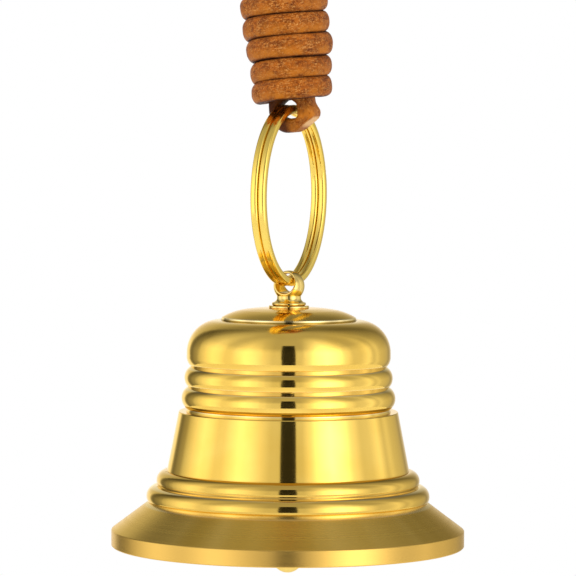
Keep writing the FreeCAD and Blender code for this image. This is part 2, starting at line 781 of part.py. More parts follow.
def binding_cord():
    """The winding of cord as one closed sleeve with a crease between turns."""
    body = doc.addObject("PartDesign::Body", "binding_cord")
    body.Label = "binding_cord"
    turn(
        body,
        "binding_turn",
        [
            ("binding_inner_radius", "binding_start"),
            (
                "binding_outer_radius - binding_crease",
                "binding_start",
                "( binding_pitch ^ 2 / 4 + binding_crease ^ 2 ) / ( 2 * binding_crease )",
                1,
            ),
            (
                "binding_outer_radius - binding_crease",
                "binding_start + binding_pitch",
            ),
            ("binding_inner_radius", "binding_start + binding_pitch"),
        ],
    )
    rows = body.newObject("PartDesign::LinearPattern", "binding_turns_all")
    rows.Originals = [doc.getObject("binding_turn")]
    axis = next(a for a in body.Origin.OriginFeatures if a.Role == "Z_Axis")
    rows.Direction = (axis, [""])
    rows.setExpression("Occurrences", d("binding_turns"))
    rows.setExpression("Length", d("( binding_turns - 1 ) * binding_pitch"))
    body.Tip = rows
    place = d(f"vector(0; 0; {RING_TOP_WIRE} - hang_height)")
    yaw = d("rotation(vector(0; 0; 1); - ring_yaw * 1 deg)")
    lean = d("rotation(vector(0; 1; 0); - handle_lean * 1 deg)")
    body.setExpression(".Placement", f"placement({place}; {yaw} * {lean})")
    pieces.append(body)


# ---------------------------------------------------------------- build


BALL_FLAT_RISE = "sqrt(ball_radius ^ 2 - ball_flat_radius ^ 2)"
LINK_HEIGHT = "hanger_hole_height - link_drop - link_radius"
ROD_EYE_HEIGHT = "hanger_hole_height - 2 * link_drop - 2 * link_radius"
RING_TOP_WIRE = "ring_centre_height + ring_outer_radius - ring_wire_depth / 2"
LOCK_TOP = "inside_flat_height - inner_washer_thickness"
NUT_TOP = f"{LOCK_TOP} - lock_washer_thickness"
HANGER_TOP = f"{NUT_TOP} - nut_height"


def check_all():
    """Stops if any object failed to build or any piece isn't one valid solid."""
    for piece in pieces:
        shape = piece.Shape
        if shape.isNull() or not shape.isValid() or len(shape.Solids) != 1:
            raise RuntimeError(f"{piece.Label} is not one valid solid")


def main():
    leather_lace()
    binding_cord()
    split_ring()
    eye_bolt()
    flat_washer(
        "crown_washer",
        "crown_washer_radius",
        "washer_bore_radius",
        "crown_washer_thickness",
        "crown_height + crown_washer_thickness",
    )
    bell_shell()
    flat_washer(
        "inner_washer",
        "inner_washer_radius",
        "washer_bore_radius",
        "inner_washer_thickness",
        "inside_flat_height",
    )
    lock_washer(LOCK_TOP)
    crown_nut(NUT_TOP)
    clapper_hanger(HANGER_TOP)
    clapper_link()
    clapper_rod()
    clapper_ball()
    clapper_cap_nut()
    rebuild()
    check_all()
    os.makedirs("parts", exist_ok=True)
    for piece in pieces:
        piece.Shape.exportStep(f"parts/{piece.Label}.step")
        print(f"{piece.Label:18s} volume {piece.Shape.Volume:10.2f}")


main()
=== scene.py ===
import json
import math

import bpy
from mathutils import Euler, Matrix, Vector, noise


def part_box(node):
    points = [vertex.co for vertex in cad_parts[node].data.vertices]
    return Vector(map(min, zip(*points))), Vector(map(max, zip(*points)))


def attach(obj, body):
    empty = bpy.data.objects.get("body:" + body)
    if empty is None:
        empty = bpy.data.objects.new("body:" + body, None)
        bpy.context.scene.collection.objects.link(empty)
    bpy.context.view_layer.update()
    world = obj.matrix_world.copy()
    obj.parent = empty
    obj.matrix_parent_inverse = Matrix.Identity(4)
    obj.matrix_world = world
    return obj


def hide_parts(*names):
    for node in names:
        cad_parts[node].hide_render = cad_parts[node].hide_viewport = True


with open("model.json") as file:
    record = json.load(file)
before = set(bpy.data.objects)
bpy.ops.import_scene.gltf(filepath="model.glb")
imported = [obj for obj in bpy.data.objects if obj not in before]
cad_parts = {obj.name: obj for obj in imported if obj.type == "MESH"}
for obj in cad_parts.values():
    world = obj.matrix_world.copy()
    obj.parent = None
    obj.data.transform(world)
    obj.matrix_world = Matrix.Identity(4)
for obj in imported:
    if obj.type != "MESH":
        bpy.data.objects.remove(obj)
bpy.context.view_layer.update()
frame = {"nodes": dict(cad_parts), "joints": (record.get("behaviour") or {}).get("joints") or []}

# A small brass handbell on a split ring, with a leather grip. The brass and steel pieces are the
# frame's own nodes with better materials. The flat lace and the cord wound round it are modelled
# here, along the same lines as the frame's plain solids. Lengths are in millimetres times MM.

MM = 0.001
joints = {joint["name"]: joint for joint in frame["joints"]}

# ---------------------------------------------------------------- places taken from the frame

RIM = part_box("bell_shell")[0].z
WIRE = Vector(joints["ring_swing"]["pos_m"])
ALONG = Vector(joints["ring_swing"]["axis"]).normalized()
OUTWARD = ALONG.cross(Vector((0, 0, 1))).normalized()

# ---------------------------------------------------------------- the leather's own sizes

LEAN = math.radians(5.8)
UP = Vector((0, 0, 1)) * math.cos(LEAN) - OUTWARD * math.sin(LEAN)
ACROSS = OUTWARD * math.cos(LEAN) + Vector((0, 0, 1)) * math.sin(LEAN)

LACE_WIDTH = 4.3 * MM
LACE_THICKNESS = 2.05 * MM
LEFT_STRAND = -2.45 * MM
RIGHT_STRAND = 3.12 * MM
RIGHT_FOOT_SHIFT = 0.15 * MM
BIGHT_FOOT = -2.75 * MM
LEFT_FOOT_BEND = 2.6 * MM
RIGHT_FOOT_BEND = 2.2 * MM

# The lace near the ring, in millimetres from the wire's middle. It is swollen here. Its strands
# stay clear of the circle that the ring's wire sweeps, and close up over it.
BIGHT_THICKNESS = 2.4
SWOLLEN_BELOW, FLAT_ABOVE = 9.0, 22.0
CLOSING_FROM = 0.6
LEFT_CLOSED, RIGHT_CLOSED = 2.2, 1.9

# Where the bight turns into a strand, sideways and upwards.
STRAND_SIDES, STRAND_HEIGHTS = (0.8, 2.0), (-3.0, -1.0)

# A strand's value beside the wire, and what is added to it where the strands have closed.
LEFT_SHIFT, LEFT_THICKNESS = (0.1, 0.85), (1.8, 1.8)
RIGHT_SHIFT, RIGHT_THICKNESS = (-0.3, -0.55), (2.7, 1.05)

# The right strand's lower corner flares out and is cut off at a slant, which bares raw leather.
# Across and down are the cut's direction, and the reach is how far out it lies. The share is how
# much of what lies past the cut is taken away.
CORNER_SIDES, CORNER_TOP, CORNER_FOOT = (1.2, 4.2), (0.9, -1.0), (-2.9, -1.5)
CORNER_FLARE = 0.7
CUT_ACROSS, CUT_DOWN = 0.53, 0.85
CUT_REACH = 3.95
CUT_SHARE = 0.85

# The cord. Its climb behind the grip and its tucked tails are in turns.
CORD_HALF_HEIGHT = 1.76 * MM
CORD_HALF_DEPTH = 1.35 * MM
CORD_CLIMB = 1.12
CORD_TAIL = 0.28
TAIL_TUCK = 2.6 * MM
BINDING_TURNS = 9
BINDING_SHIFT = 0.6 * MM

# Each turn from the lowest: height above the wire, share of the cord's height, outer radius and
# shift to the right. All but the share are in millimetres.
TURN_HEIGHTS = [2.98, 6.3, 9.95, 13.6, 17.1, 20.6, 24.1, 27.6, 31.1]
TURN_SIZES = [1.02, 1.0, 1.1, 1.02, 1.0, 1.0, 1.0, 1.0, 1.0]
TURN_RADII = [6.75, 6.85, 7.35, 7.35, 7.35, 7.25, 7.3, 7.2, 7.0]
TURN_SHIFTS = [0.05, 0.2, 0.25, 0.0, 0.0, 0.05, -0.1, 0.1, 0.0]

LOOP_HALF_WIDTH = 7.6 * MM
LOOP_STRAIGHT = 14.5 * MM
LOOP_BEND = 11.0 * MM

# ---------------------------------------------------------------- colours

EDGE_TINT = (0.97, 0.87, 0.62, 1)
BRIGHT_BRASS = (0.93, 0.625, 0.135, 1)
DEEP_BRASS = (0.89, 0.575, 0.105, 1)
# Darker brass on the lower beads: painted shade for their dimmer reflection.
LOWER_BEAD_PAINTED_SHADE = (0.78, 0.51, 0.105, 1)
FLARE_BRIGHT = (0.93, 0.62, 0.140, 1)
FLARE_DEEP = (0.78, 0.49, 0.080, 1)
RIM_BRASS = (0.69, 0.42, 0.095, 1)
# The groove colour is a painted reflection of the bright floor.
GROOVE_PAINTED_REFLECTION = (0.97, 0.84, 0.48, 1)
# The pale crown colour is a painted highlight on the crown's lip and ledge.
CROWN_PAINTED_HIGHLIGHT = (0.97, 0.86, 0.54, 1)
# The dark crown colour is a painted shadow in the step under the lip.
STEP_PAINTED_SHADOW = (0.22, 0.13, 0.02, 1)
HARDWARE_BRASS = (0.86, 0.63, 0.20)
RING_BRASS = (0.94, 0.68, 0.15)
STEEL_LIGHT = (0.62, 0.63, 0.62, 1)
STEEL_DARK = (0.50, 0.51, 0.50, 1)

WHITE = (1, 1, 1, 1)
BLACK = (0, 0, 0, 1)
CEILING = (0.42, 0.42, 0.42, 1)
FLOOR_PALE = (0.9, 0.9, 0.89, 1)
SURROUND_STRENGTH = 3.0

LEATHER_DARK = (0.105, 0.020, 0.0011, 1)
LEATHER_LIGHT = (0.295, 0.076, 0.0045, 1)
# The warm tone is partly painted light, on the lower side of the cord's turns.
LEATHER_WARM_AND_PAINTED_LIGHT = (0.45, 0.142, 0.009, 1)
LEATHER_WORN = (0.56, 0.26, 0.065, 1)
LEATHER_PIT = (0.06, 0.010, 0.001, 1)
# The darkest tone is painted shade, in the cord's creases and on the lace behind the wire and under
# the binding.
LEATHER_PAINTED_SHADE = (0.030, 0.004, 0.0005, 1)
LEATHER_RAW = (0.66, 0.38, 0.16, 1)

# ---------------------------------------------------------------- zones of the bell

# Heights above the rim, in millimetres. Two numbers are where a zone starts and where it is full.
# Four are the same for its lower end and then, full first, for its upper end.
RIM_BAND = (2.9, 2.6)
UNDER_BEADS = (7.6, 7.1)
# The lower beads' zone is darkened as painted shade.
LOWER_BEADS = (7.1, 7.4, 12.6, 12.9)
CROWN = (34.0, 36.5)
# The ledge and the lip get a painted highlight.
LEDGE = (36.4, 37.0)
# The step gets a painted shadow.
STEP = (37.6, 37.7, 37.93, 37.99)
LIP = (37.95, 38.02, 38.28, 38.36)

# Radii in the same way. They bound the painted reflection in the grooves, the painted highlights on
# ledge and lip, and the painted shadow in the step.
OUTSIDE = (15.8, 16.2)
LEDGE_RADII = (11.3, 11.6, 12.2, 13.6)
INSIDE_STEP = (11.5, 11.4)
OVER_LIP = (10.8, 11.0)

# Heights, and reaches up and down, of the grooves where the brass is painted palest, a painted
# reflection of the bright floor.
GROOVES = [(30.0, 0.6), (26.6, 0.6), (23.1, 0.4), (10.1, 0.5), (7.2, 0.45)]

# The share of a groove's reach within which its painted reflection is full.
GROOVE_FULL = 0.45


# ---------------------------------------------------------------- small helpers


def smooth(value, low, high):
    """0 at low and before, 1 at high and past it, and an even S between. Low may be the larger."""
    t = min(max((value - low) / (high - low), 0.0), 1.0)
    return t * t * (3 - 2 * t)


def between(values, place, eased=True):
    """A list's value at a fractional place, eased or straight from one entry to the next."""
    place = min(max(place, 0.0), len(values) - 1.0)
    index = min(int(place), len(values) - 2)
    part = place - index
    if eased:
        part = smooth(part, 0.0, 1.0)
    return values[index] + (values[index + 1] - values[index]) * part


def unevenness(place, coarse, fine):
    """A small bump or hollow of hand-worked leather. Coarse and fine are (size, reach) in mm."""
    wobble = 0.0
    for size, reach in (coarse, fine):
        wobble += noise.noise(place / (size * MM)) * reach * MM
    return wobble


def superellipse(half_width, half_height, power, count):
    """Points round a rounded oblong, from the middle of its inner side."""
    points = []
    for i in range(count):
        a = 2 * math.pi * i / count + math.pi
        c, s = math.cos(a), math.sin(a)
        x = math.copysign(abs(c) ** (2 / power), c) * half_width
        y = math.copysign(abs(s) ** (2 / power), s) * half_height
        points.append((x, y))
    return points


def tube_mesh(name, rings, lengths, closed):
    """A mesh skin over rings of points. It stores how far along and how far round each point is."""
    count = len(rings[0])
    verts = [p for ring in rings for p in ring]
    faces = []
    spans = len(rings) if closed else len(rings) - 1
    for i in range(spans):
        a, b = i * count, ((i + 1) % len(rings)) * count
        for j in range(count):
            k = (j + 1) % count
            faces.append((a + j, a + k, b + k, b + j))
    if not closed:
        faces.append(tuple(range(count))[::-1])
        faces.append(tuple(range((len(rings) - 1) * count, len(rings) * count)))
    mesh = bpy.data.meshes.new(name)
    mesh.from_pydata(verts, [], faces)
    mesh.validate()
    along = mesh.attributes.new("along", "FLOAT", "POINT")
    around = mesh.attributes.new("around", "FLOAT", "POINT")
    for i, length in enumerate(lengths):
        for j in range(count):
            along.data[i * count + j].value = length
            around.data[i * count + j].value = j / count
    mesh.shade_smooth()
    piece = bpy.data.objects.new(name, mesh)
    bpy.context.scene.collection.objects.link(piece)
    return piece


def face_outward(piece):
    """Turns every face of a closed mesh outwards."""
    volume = 0.0
    for polygon in piece.data.polygons:
        volume += polygon.center.dot(polygon.normal) * polygon.area
    if volume < 0:
        piece.data.flip_normals()


def straight_points(start, end, step):
    """Points along a straight run, without its two ends."""
    pieces = max(int((end - start).length / step), 1)
    return [start + (end - start) * (k / pieces) for k in range(1, pieces)]


def route_points(corners, step):
    """Points along a closed route of straight runs and tangent arcs. A corner is (place, radius)."""
    count = len(corners)
    points = []
    for i, (corner, radius) in enumerate(corners):
        back = (corners[i - 1][0] - corner).normalized()
        ahead = (corners[(i + 1) % count][0] - corner).normalized()
        half_turn = (math.pi - back.angle(ahead)) / 2
        reach = radius * math.tan(half_turn)
        centre = corner + (back + ahead).normalized() * (radius / math.cos(half_turn))
        first = corner + back * reach - centre
        last = corner + ahead * reach - centre
        if points:
            points += straight_points(points[-1], centre + first, step)
        steps = max(int(2 * half_turn * radius / step), 6)
        points += [centre + first.slerp(last, k / steps) * radius for k in range(steps + 1)]
    return points + straight_points(points[-1], points[0], step)


# ---------------------------------------------------------------- shader helpers


class Nodes:
    """A node tree with one short call for each kind of node used here."""

    def __init__(self, owner):
        owner.use_nodes = True
        self.tree = owner.node_tree
        self.tree.nodes.clear()

    def connect(self, value, socket):
        """Links another node's output to a socket, or sets a plain value on it."""
        if isinstance(value, bpy.types.NodeSocket):
            self.tree.links.new(value, socket)
        else:
            socket.default_value = value

    def add(self, kind, inputs=None, **settings):
        """A new node. Its inputs are given by the sockets' names or numbers."""
        node = self.tree.nodes.new(f"ShaderNode{kind}")
        for key, value in settings.items():
            setattr(node, key, value)
        for key, value in (inputs or {}).items():
            self.connect(value, node.inputs[key])
        return node

    def math(self, operation, *values):
        return self.add("Math", dict(enumerate(values)), operation=operation).outputs[0]

    def product(self, first, *others):
        for other in others:
            first = self.math("MULTIPLY", first, other)
        return first

    def mix(self, factor, first, second, blend="MIX"):
        inputs = {0: factor, 6: first, 7: second}
        return self.add("Mix", inputs, data_type="RGBA", blend_type=blend).outputs[2]


class Shader(Nodes):
    """A material's nodes. Places are in millimetres."""

    def __init__(self, name):
        self.material = bpy.data.materials.new(name)
        super().__init__(self.material)
        self.output = self.add("OutputMaterial")

    def noise(self, vector, scale, detail=3.0, roughness=0.55, distortion=0.0):
        inputs = {
            "Vector": vector, "Scale": scale, "Detail": detail,
            "Roughness": roughness, "Distortion": distortion,
        }
        return self.add("TexNoise", inputs).outputs["Fac"]

    def range(self, value, low, high):
        """0 at low and 1 at high, with an even S between them. Low may be the larger."""
        inputs = {"Value": value, "From Min": low, "From Max": high}
        return self.add("MapRange", inputs, interpolation_type="SMOOTHSTEP").outputs["Result"]

    def within(self, value, low, low_full, high_full, high):
        """1 between the two full places, 0 below low and above high."""
        return self.product(self.range(value, low, low_full), self.range(value, high, high_full))

    def tint(self, colour, mask, strength, second):
        """The colour turned towards a second one where the mask says."""
        return self.mix(self.product(mask, strength), colour, second)

    def combine(self, x, y, z):
        return self.add("CombineXYZ", {"X": x, "Y": y, "Z": z}).outputs[0]

    def attribute(self, name):
        return self.add("Attribute", attribute_name=name).outputs["Fac"]

    def place(self):
        """The point's place in the piece's own frame, in millimetres, as x, y, z and radius."""
        point = self.add("TexCoord").outputs["Object"]
        parts = self.add("SeparateXYZ", {"Vector": point})
        x, y, z = [self.product(output, 1 / MM) for output in parts.outputs]
        squares = self.math("ADD", self.product(x, x), self.product(y, y))
        return x, y, z, self.math("SQRT", squares)

    def bump(self, height, strength, distance, normal=None):
        inputs = {"Height": height, "Strength": strength, "Distance": distance * MM}
        if normal is not None:
            inputs["Normal"] = normal
        return self.add("Bump", inputs).outputs["Normal"]

    def finish(self, **inputs):
        named = {key.replace("_", " "): value for key, value in inputs.items()}
        surface = self.add("BsdfPrincipled", named)
        self.connect(surface.outputs[0], self.output.inputs["Surface"])
        return self.material


# ---------------------------------------------------------------- metals


def polished_brass(name, colour, roughness, turned):
    """Polished brass with fine turning lines or, on the bent pieces, only faint scratches."""
    s = Shader(name)
    x, y, z, radius = s.place()
    lines_place = s.combine(radius, 0.0, z) if turned else s.combine(x, y, z)
    lines = s.noise(lines_place, 5.0 if turned else 0.9, 3.0, 0.6)
    haze = s.noise(s.combine(x, y, z), 0.12, 3.0)
    shadow = (colour[0] * 0.97, colour[1] * 0.95, colour[2] * 0.85, 1)
    tint = s.mix(s.range(haze, 0.35, 0.7), (*colour, 1), shadow)
    line_roughness = 0.05
    rough = s.math("ADD", s.product(lines, line_roughness), roughness - line_roughness / 2)
    return s.finish(
        Base_Color=tint, Metallic=1.0, Roughness=rough, Specular_Tint=EDGE_TINT,
        Normal=s.bump(lines, 0.2 if turned else 0.02, 0.0006),
    )


def bell_colour(s, height, flare, band):
    """The brass's colour by zone: beads, flare, rim band, grooves and the crown's lip and step. The
    lower beads carry painted shade, the grooves a painted reflection, the crown's lip and ledge
    painted highlights and its step a painted shadow.
    """
    x, y, z, radius = s.place()
    haze = s.noise(s.combine(x, y, z), 0.1, 3.0)
    angle = s.math("ARCTAN2", y, x)
    sweep_place = s.combine(s.math("COSINE", angle), s.math("SINE", angle), 1.7)
    sweep = s.noise(sweep_place, 2.6, 2.0)
    flare_tint = s.mix(s.range(sweep, 0.35, 0.65), FLARE_BRIGHT, FLARE_DEEP)

    colour = s.mix(s.range(haze, 0.35, 0.7), BRIGHT_BRASS, DEEP_BRASS)
    # Painted shade: the lower beads are darkened.
    colour = s.tint(colour, s.within(height, *LOWER_BEADS), 0.9, LOWER_BEAD_PAINTED_SHADE)
    colour = s.tint(colour, flare, 0.92, flare_tint)
    colour = s.tint(colour, band, 0.9, RIM_BRASS)
    # Painted reflection: the grooves are turned pale, standing in for the bright floor they reflect.
    for groove, reach in GROOVES:
        away = s.math("ABSOLUTE", s.math("SUBTRACT", height, groove))
        near = s.product(s.range(away, reach, reach * GROOVE_FULL), s.range(radius, *OUTSIDE))
        colour = s.tint(colour, near, 0.6, GROOVE_PAINTED_REFLECTION)

    # Painted shadow: a dark line in the step under the crown's lip.
    step = s.product(s.within(height, *STEP), s.range(radius, *INSIDE_STEP))
    colour = s.tint(colour, step, 0.85, STEP_PAINTED_SHADOW)
    # Painted highlights: the crown's lip and ledge are turned pale.
    lip = s.product(s.within(height, *LIP), s.range(radius, *OVER_LIP))
    ledge = s.product(s.within(radius, *LEDGE_RADII), s.range(height, *LEDGE))
    pale = s.math("ADD", s.product(lip, 0.6), s.product(ledge, 0.5))
    return s.mix(pale, colour, CROWN_PAINTED_HIGHLIGHT)


def bell_brass():
    """The bell: polished above, brushed on the flare, satin on the rim band and inside."""
    s = Shader("bell_brass")
    _, _, z, radius = s.place()
    height = s.math("SUBTRACT", z, RIM / MM)
    below_beads = s.range(height, *UNDER_BEADS)
    band = s.range(height, *RIM_BAND)
    crown = s.range(height, *CROWN)
    flare = s.product(below_beads, s.math("SUBTRACT", 1.0, band))

    ring = s.combine(radius, 0.0, z)
    fine = s.noise(ring, 6.0, 4.0, 0.7)
    coarse = s.noise(ring, 1.6, 3.0, 0.6)
    polished = s.math("ADD", s.product(fine, 0.05), 0.055)
    brushed = s.math("ADD", s.product(coarse, 0.12), 0.20)
    rough = s.math("ADD", polished, s.product(below_beads, s.math("SUBTRACT", brushed, polished)))
    rough = s.math("ADD", rough, s.product(crown, 0.07))
    lines = s.bump(fine, 0.18, 0.0006)
    lines = s.bump(s.product(coarse, below_beads), 0.35, 0.006, lines)
    return s.finish(
        Base_Color=bell_colour(s, height, flare, band), Metallic=1.0, Roughness=rough,
        Specular_Tint=EDGE_TINT, Normal=lines,
    )


def plated_steel():
    """Zinc-plated steel of the hidden washers and nut."""
    s = Shader("plated_steel")
    x, y, z, radius = s.place()
    spangle = s.add("TexVoronoi", {"Vector": s.combine(x, y, z), "Scale": 2.5}).outputs["Distance"]
    scratches = s.noise(s.combine(radius, s.product(x, 0.2), z), 5.0, 4.0, 0.7)
    colour = s.mix(s.range(spangle, 0.1, 0.7), STEEL_LIGHT, STEEL_DARK)
    rough = s.math("ADD", s.product(scratches, 0.2), 0.2)
    return s.finish(
        Base_Color=colour, Metallic=1.0, Roughness=rough,
        Normal=s.bump(scratches, 0.3, 0.004),
    )


# ---------------------------------------------------------------- leather


def leather(name, wound):
    """Oiled leather: creases darkened by painted shade, mottled sides, pale worn specks and fine
    wrinkles. The cord's turns also get a painted light on their lower sides.
    """
    s = Shader(name)
    x, y, z, _ = s.place()
    point = s.combine(x, y, z)
    along = s.product(s.attribute("along"), 1 / MM)
    turn = s.product(s.attribute("around"), 2 * math.pi)
    upward = s.product(s.math("SINE", turn), -1.0)
    grain_place = s.combine(
        s.product(along, 0.5), s.product(s.math("COSINE", turn), 1.5), s.product(upward, 1.6)
    )
    patches = s.noise(point, 0.30, 3.0, 0.6, 0.3)
    streaks = s.noise(grain_place, 1.3, 5.0, 0.62, 0.5)
    speckle = s.noise(point, 2.8, 4.0, 0.65)
    wrinkles = s.noise(grain_place, 5.6, 4.0, 0.7, 1.0)
    uneven = s.math("SUBTRACT", streaks, 0.5)

    mottle = s.math("ADD", s.product(streaks, 0.6), s.product(speckle, 0.4))
    colour = s.mix(s.range(mottle, 0.40, 0.60), LEATHER_DARK, LEATHER_LIGHT)
    # Painted light: on the wound cord the lower side of each turn is lit warmer and lighter; on the
    # lace the warm tone only falls in random patches.
    if wound:
        ragged = s.math("ADD", upward, s.product(uneven, 1.6))
        low = s.product(s.range(ragged, 0.35, -0.75), s.range(upward, -0.99, -0.75))
        warmth_and_painted_light = s.product(low, s.range(patches, 0.38, 0.62))
    else:
        warmth_and_painted_light = s.range(patches, 0.42, 0.66)
    colour = s.tint(colour, warmth_and_painted_light, 0.75, LEATHER_WARM_AND_PAINTED_LIGHT)
    worn = s.product(s.range(wrinkles, 0.50, 0.64), s.range(patches, 0.80, 0.38))
    colour = s.tint(colour, worn, 0.75, LEATHER_WORN)
    pits = s.range(s.noise(point, 4.5, 2.0, 0.5), 0.36, 0.28)
    colour = s.tint(colour, pits, 0.6, LEATHER_PIT)
    # Painted shade: the cord darkens in the creases between its turns, and the lace where its shade
    # attribute says.
    if wound:
        crease = s.math("ADD", s.math("ABSOLUTE", upward), s.product(uneven, 0.25))
        colour = s.tint(colour, s.range(crease, 0.84, 1.0), 0.92, LEATHER_PAINTED_SHADE)
    else:
        colour = s.tint(colour, s.attribute("shade"), 0.85, LEATHER_PAINTED_SHADE)
        colour = s.mix(s.attribute("raw"), colour, LEATHER_RAW)

    rough = s.math("ADD", s.product(speckle, 0.3), 0.38)
    relief = s.bump(speckle, 0.4, 0.10)
    relief = s.bump(streaks, 0.5, 0.18, relief)
    relief = s.bump(wrinkles, 0.45, 0.07, relief)
    return s.finish(
        Base_Color=colour, Roughness=rough, Normal=relief,
        Specular_IOR_Level=0.12, Sheen_Weight=0.01, Sheen_Roughness=0.5,
    )


def lace_place(side, height):
    """A point of the lace's middle line in its own plane, above the ring's wire."""
    return WIRE + ACROSS * side + UP * height


def strand_shape(side, height):
    """Sideways shift and thickness of the lace near the ring, where the two strands close up.

    All of these are in millimetres. The bight under the ring keeps one thickness.
    """
    swollen = smooth(height, FLAT_ABOVE, SWOLLEN_BELOW)
    strand = smooth(abs(side), *STRAND_SIDES) * smooth(height, *STRAND_HEIGHTS)
    if side > 0:
        shifts, thicknesses, closed_at = RIGHT_SHIFT, RIGHT_THICKNESS, RIGHT_CLOSED
    else:
        shifts, thicknesses, closed_at = LEFT_SHIFT, LEFT_THICKNESS, LEFT_CLOSED
    closed = smooth(height, CLOSING_FROM, closed_at)
    shift = (shifts[0] + shifts[1] * closed) * strand
    thickness = thicknesses[0] + thicknesses[1] * closed
    thickness = BIGHT_THICKNESS + (thickness - BIGHT_THICKNESS) * strand
    thin = LACE_THICKNESS / MM
    return shift * swollen, thin + (thickness - thin) * swollen


def lace_route():
    """The lace's closed middle line: bight, two strands and the hanging loop."""
    grip_top = TURN_HEIGHTS[-1] * MM + CORD_HALF_HEIGHT
    open_at = grip_top + 2 * MM
    loop_top = LACE_THICKNESS / 2
    top_bend = LOOP_HALF_WIDTH - 0.01 * MM
    hang = Vector((0, 0, 0))
    loop_up = (hang - lace_place(0, grip_top)).normalized()
    loop_across = (OUTWARD - loop_up * OUTWARD.dot(loop_up)).normalized()

    def high(side, height):
        return hang + loop_across * (side * LOOP_HALF_WIDTH) + loop_up * height

    corners = [
        (lace_place(LEFT_STRAND, BIGHT_FOOT), LEFT_FOOT_BEND),
        (lace_place(LEFT_STRAND, open_at), LOOP_BEND),
        (high(-1, -LOOP_STRAIGHT), LOOP_BEND),
        (high(-1, loop_top), top_bend),
        (high(1, loop_top), top_bend),
        (high(1, -LOOP_STRAIGHT), LOOP_BEND),
        (lace_place(RIGHT_STRAND, open_at), LOOP_BEND),
        (lace_place(RIGHT_STRAND + RIGHT_FOOT_SHIFT, BIGHT_FOOT), RIGHT_FOOT_BEND),
    ]
    return route_points(corners, 0.3 * MM)


def across_and_up(place):
    """Where a point is beside and above the ring's wire, in millimetres."""
    return (place - WIRE).dot(ACROSS) / MM, (place - WIRE).dot(UP) / MM


def cut_corner(place):
    """Flares the right strand's lower corner and cuts it off. Also returns how raw the place is."""
    side, height = across_and_up(place)
    corner = smooth(side, *CORNER_SIDES)
    corner *= smooth(height, *CORNER_TOP) * smooth(height, *CORNER_FOOT)
    flare = corner * CORNER_FLARE
    place = place + ACROSS * (flare * MM)
    past = (side + flare) * CUT_ACROSS - height * CUT_DOWN - CUT_REACH
    if past > 0 and side > 1.0:
        place -= (ACROSS * CUT_ACROSS - UP * CUT_DOWN) * (past * CUT_SHARE * MM)
    raw = smooth(past, -0.1, 0.1) * smooth(side, 2.4, 3.2)
    return place, raw


def painted_shade_depth(place):
    """How much painted shade the lace gets: on the left, behind the wire, and up under the binding.
    """
    side, height = across_and_up(place)
    low_down = smooth(height, 12.0, 8.0)
    behind = smooth(side, 0.9, -0.4) * low_down
    under_binding = smooth(height, 2.2, 3.6) * 0.6 * low_down
    return max(behind, under_binding)


def lace():
    """The flat lace: the bight that holds the ring, two strands and the hanging loop."""
    middle = lace_route()
    count = len(middle)
    section = superellipse(0.5, 0.5, 3.2, 36)
    rings, lengths, raw, shade = [], [], [], []
    length = 0.0
    for i, point in enumerate(middle):
        tangent = (middle[(i + 1) % count] - middle[i - 1]).normalized()
        outside = tangent.cross(ALONG).normalized()
        shift, thickness = strand_shape(*across_and_up(point))
        middle_place = point + ACROSS * (shift * MM)
        ring = []
        for width, depth in section:
            plain = middle_place + ALONG * (width * LACE_WIDTH) + outside * (depth * thickness * MM)
            p, rawness = cut_corner(plain)
            direction = (p - middle_place).normalized()
            ring.append(p + direction * unevenness(p, (2.2, 0.10), (0.7, 0.03)))
            raw.append(rawness)
            shade.append(painted_shade_depth(plain))
        rings.append(ring)
        lengths.append(length)
        length += (middle[(i + 1) % count] - point).length
    piece = tube_mesh("lace", rings, lengths, closed=True)
    face_outward(piece)
    for name, values in (("raw", raw), ("shade", shade)):
        marks = piece.data.attributes.new(name, "FLOAT", "POINT")
        for i, value in enumerate(values):
            marks.data[i].value = value
    piece.data.materials.append(leather("lace_leather", wound=False))
    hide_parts("leather_lace")
    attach(piece, "handle")


def cord_centre(place, front, right):
    """The cord's middle at a number of turns, the way out there, and how full its section is.

    The cord stays level in front and climbs a turn behind. Its two thinner tails tuck in.
    """
    inside = min(max(place, 0.0), float(BINDING_TURNS))
    climb = CORD_CLIMB / (2 * math.pi)
    level = inside - climb * math.sin(2 * math.pi * (inside - 0.25)) - climb
    tuck = max(smooth(-place, 0.0, CORD_TAIL), smooth(place - BINDING_TURNS, 0.0, CORD_TAIL))
    outer = between(TURN_RADII, inside - 0.5) * MM
    radius = outer - CORD_HALF_DEPTH - tuck * TAIL_TUCK
    radius += noise.noise(Vector((place * 2.3, 0.0, 5.0))) * 0.12 * MM
    height = between(TURN_HEIGHTS, level, eased=False) * MM
    height += noise.noise(Vector((place * 1.7, 3.0, 0.0))) * 0.10 * MM
    shift = BINDING_SHIFT + between(TURN_SHIFTS, inside - 0.5) * MM
    angle = 2 * math.pi * place
    out = right * -math.cos(angle) + front * math.sin(angle)
    thinning = 1.0 - 0.25 * tuck
    spread = (thinning, thinning * between(TURN_SIZES, inside - 0.5))
    return WIRE + ACROSS * shift + UP * height + out * radius, out, spread


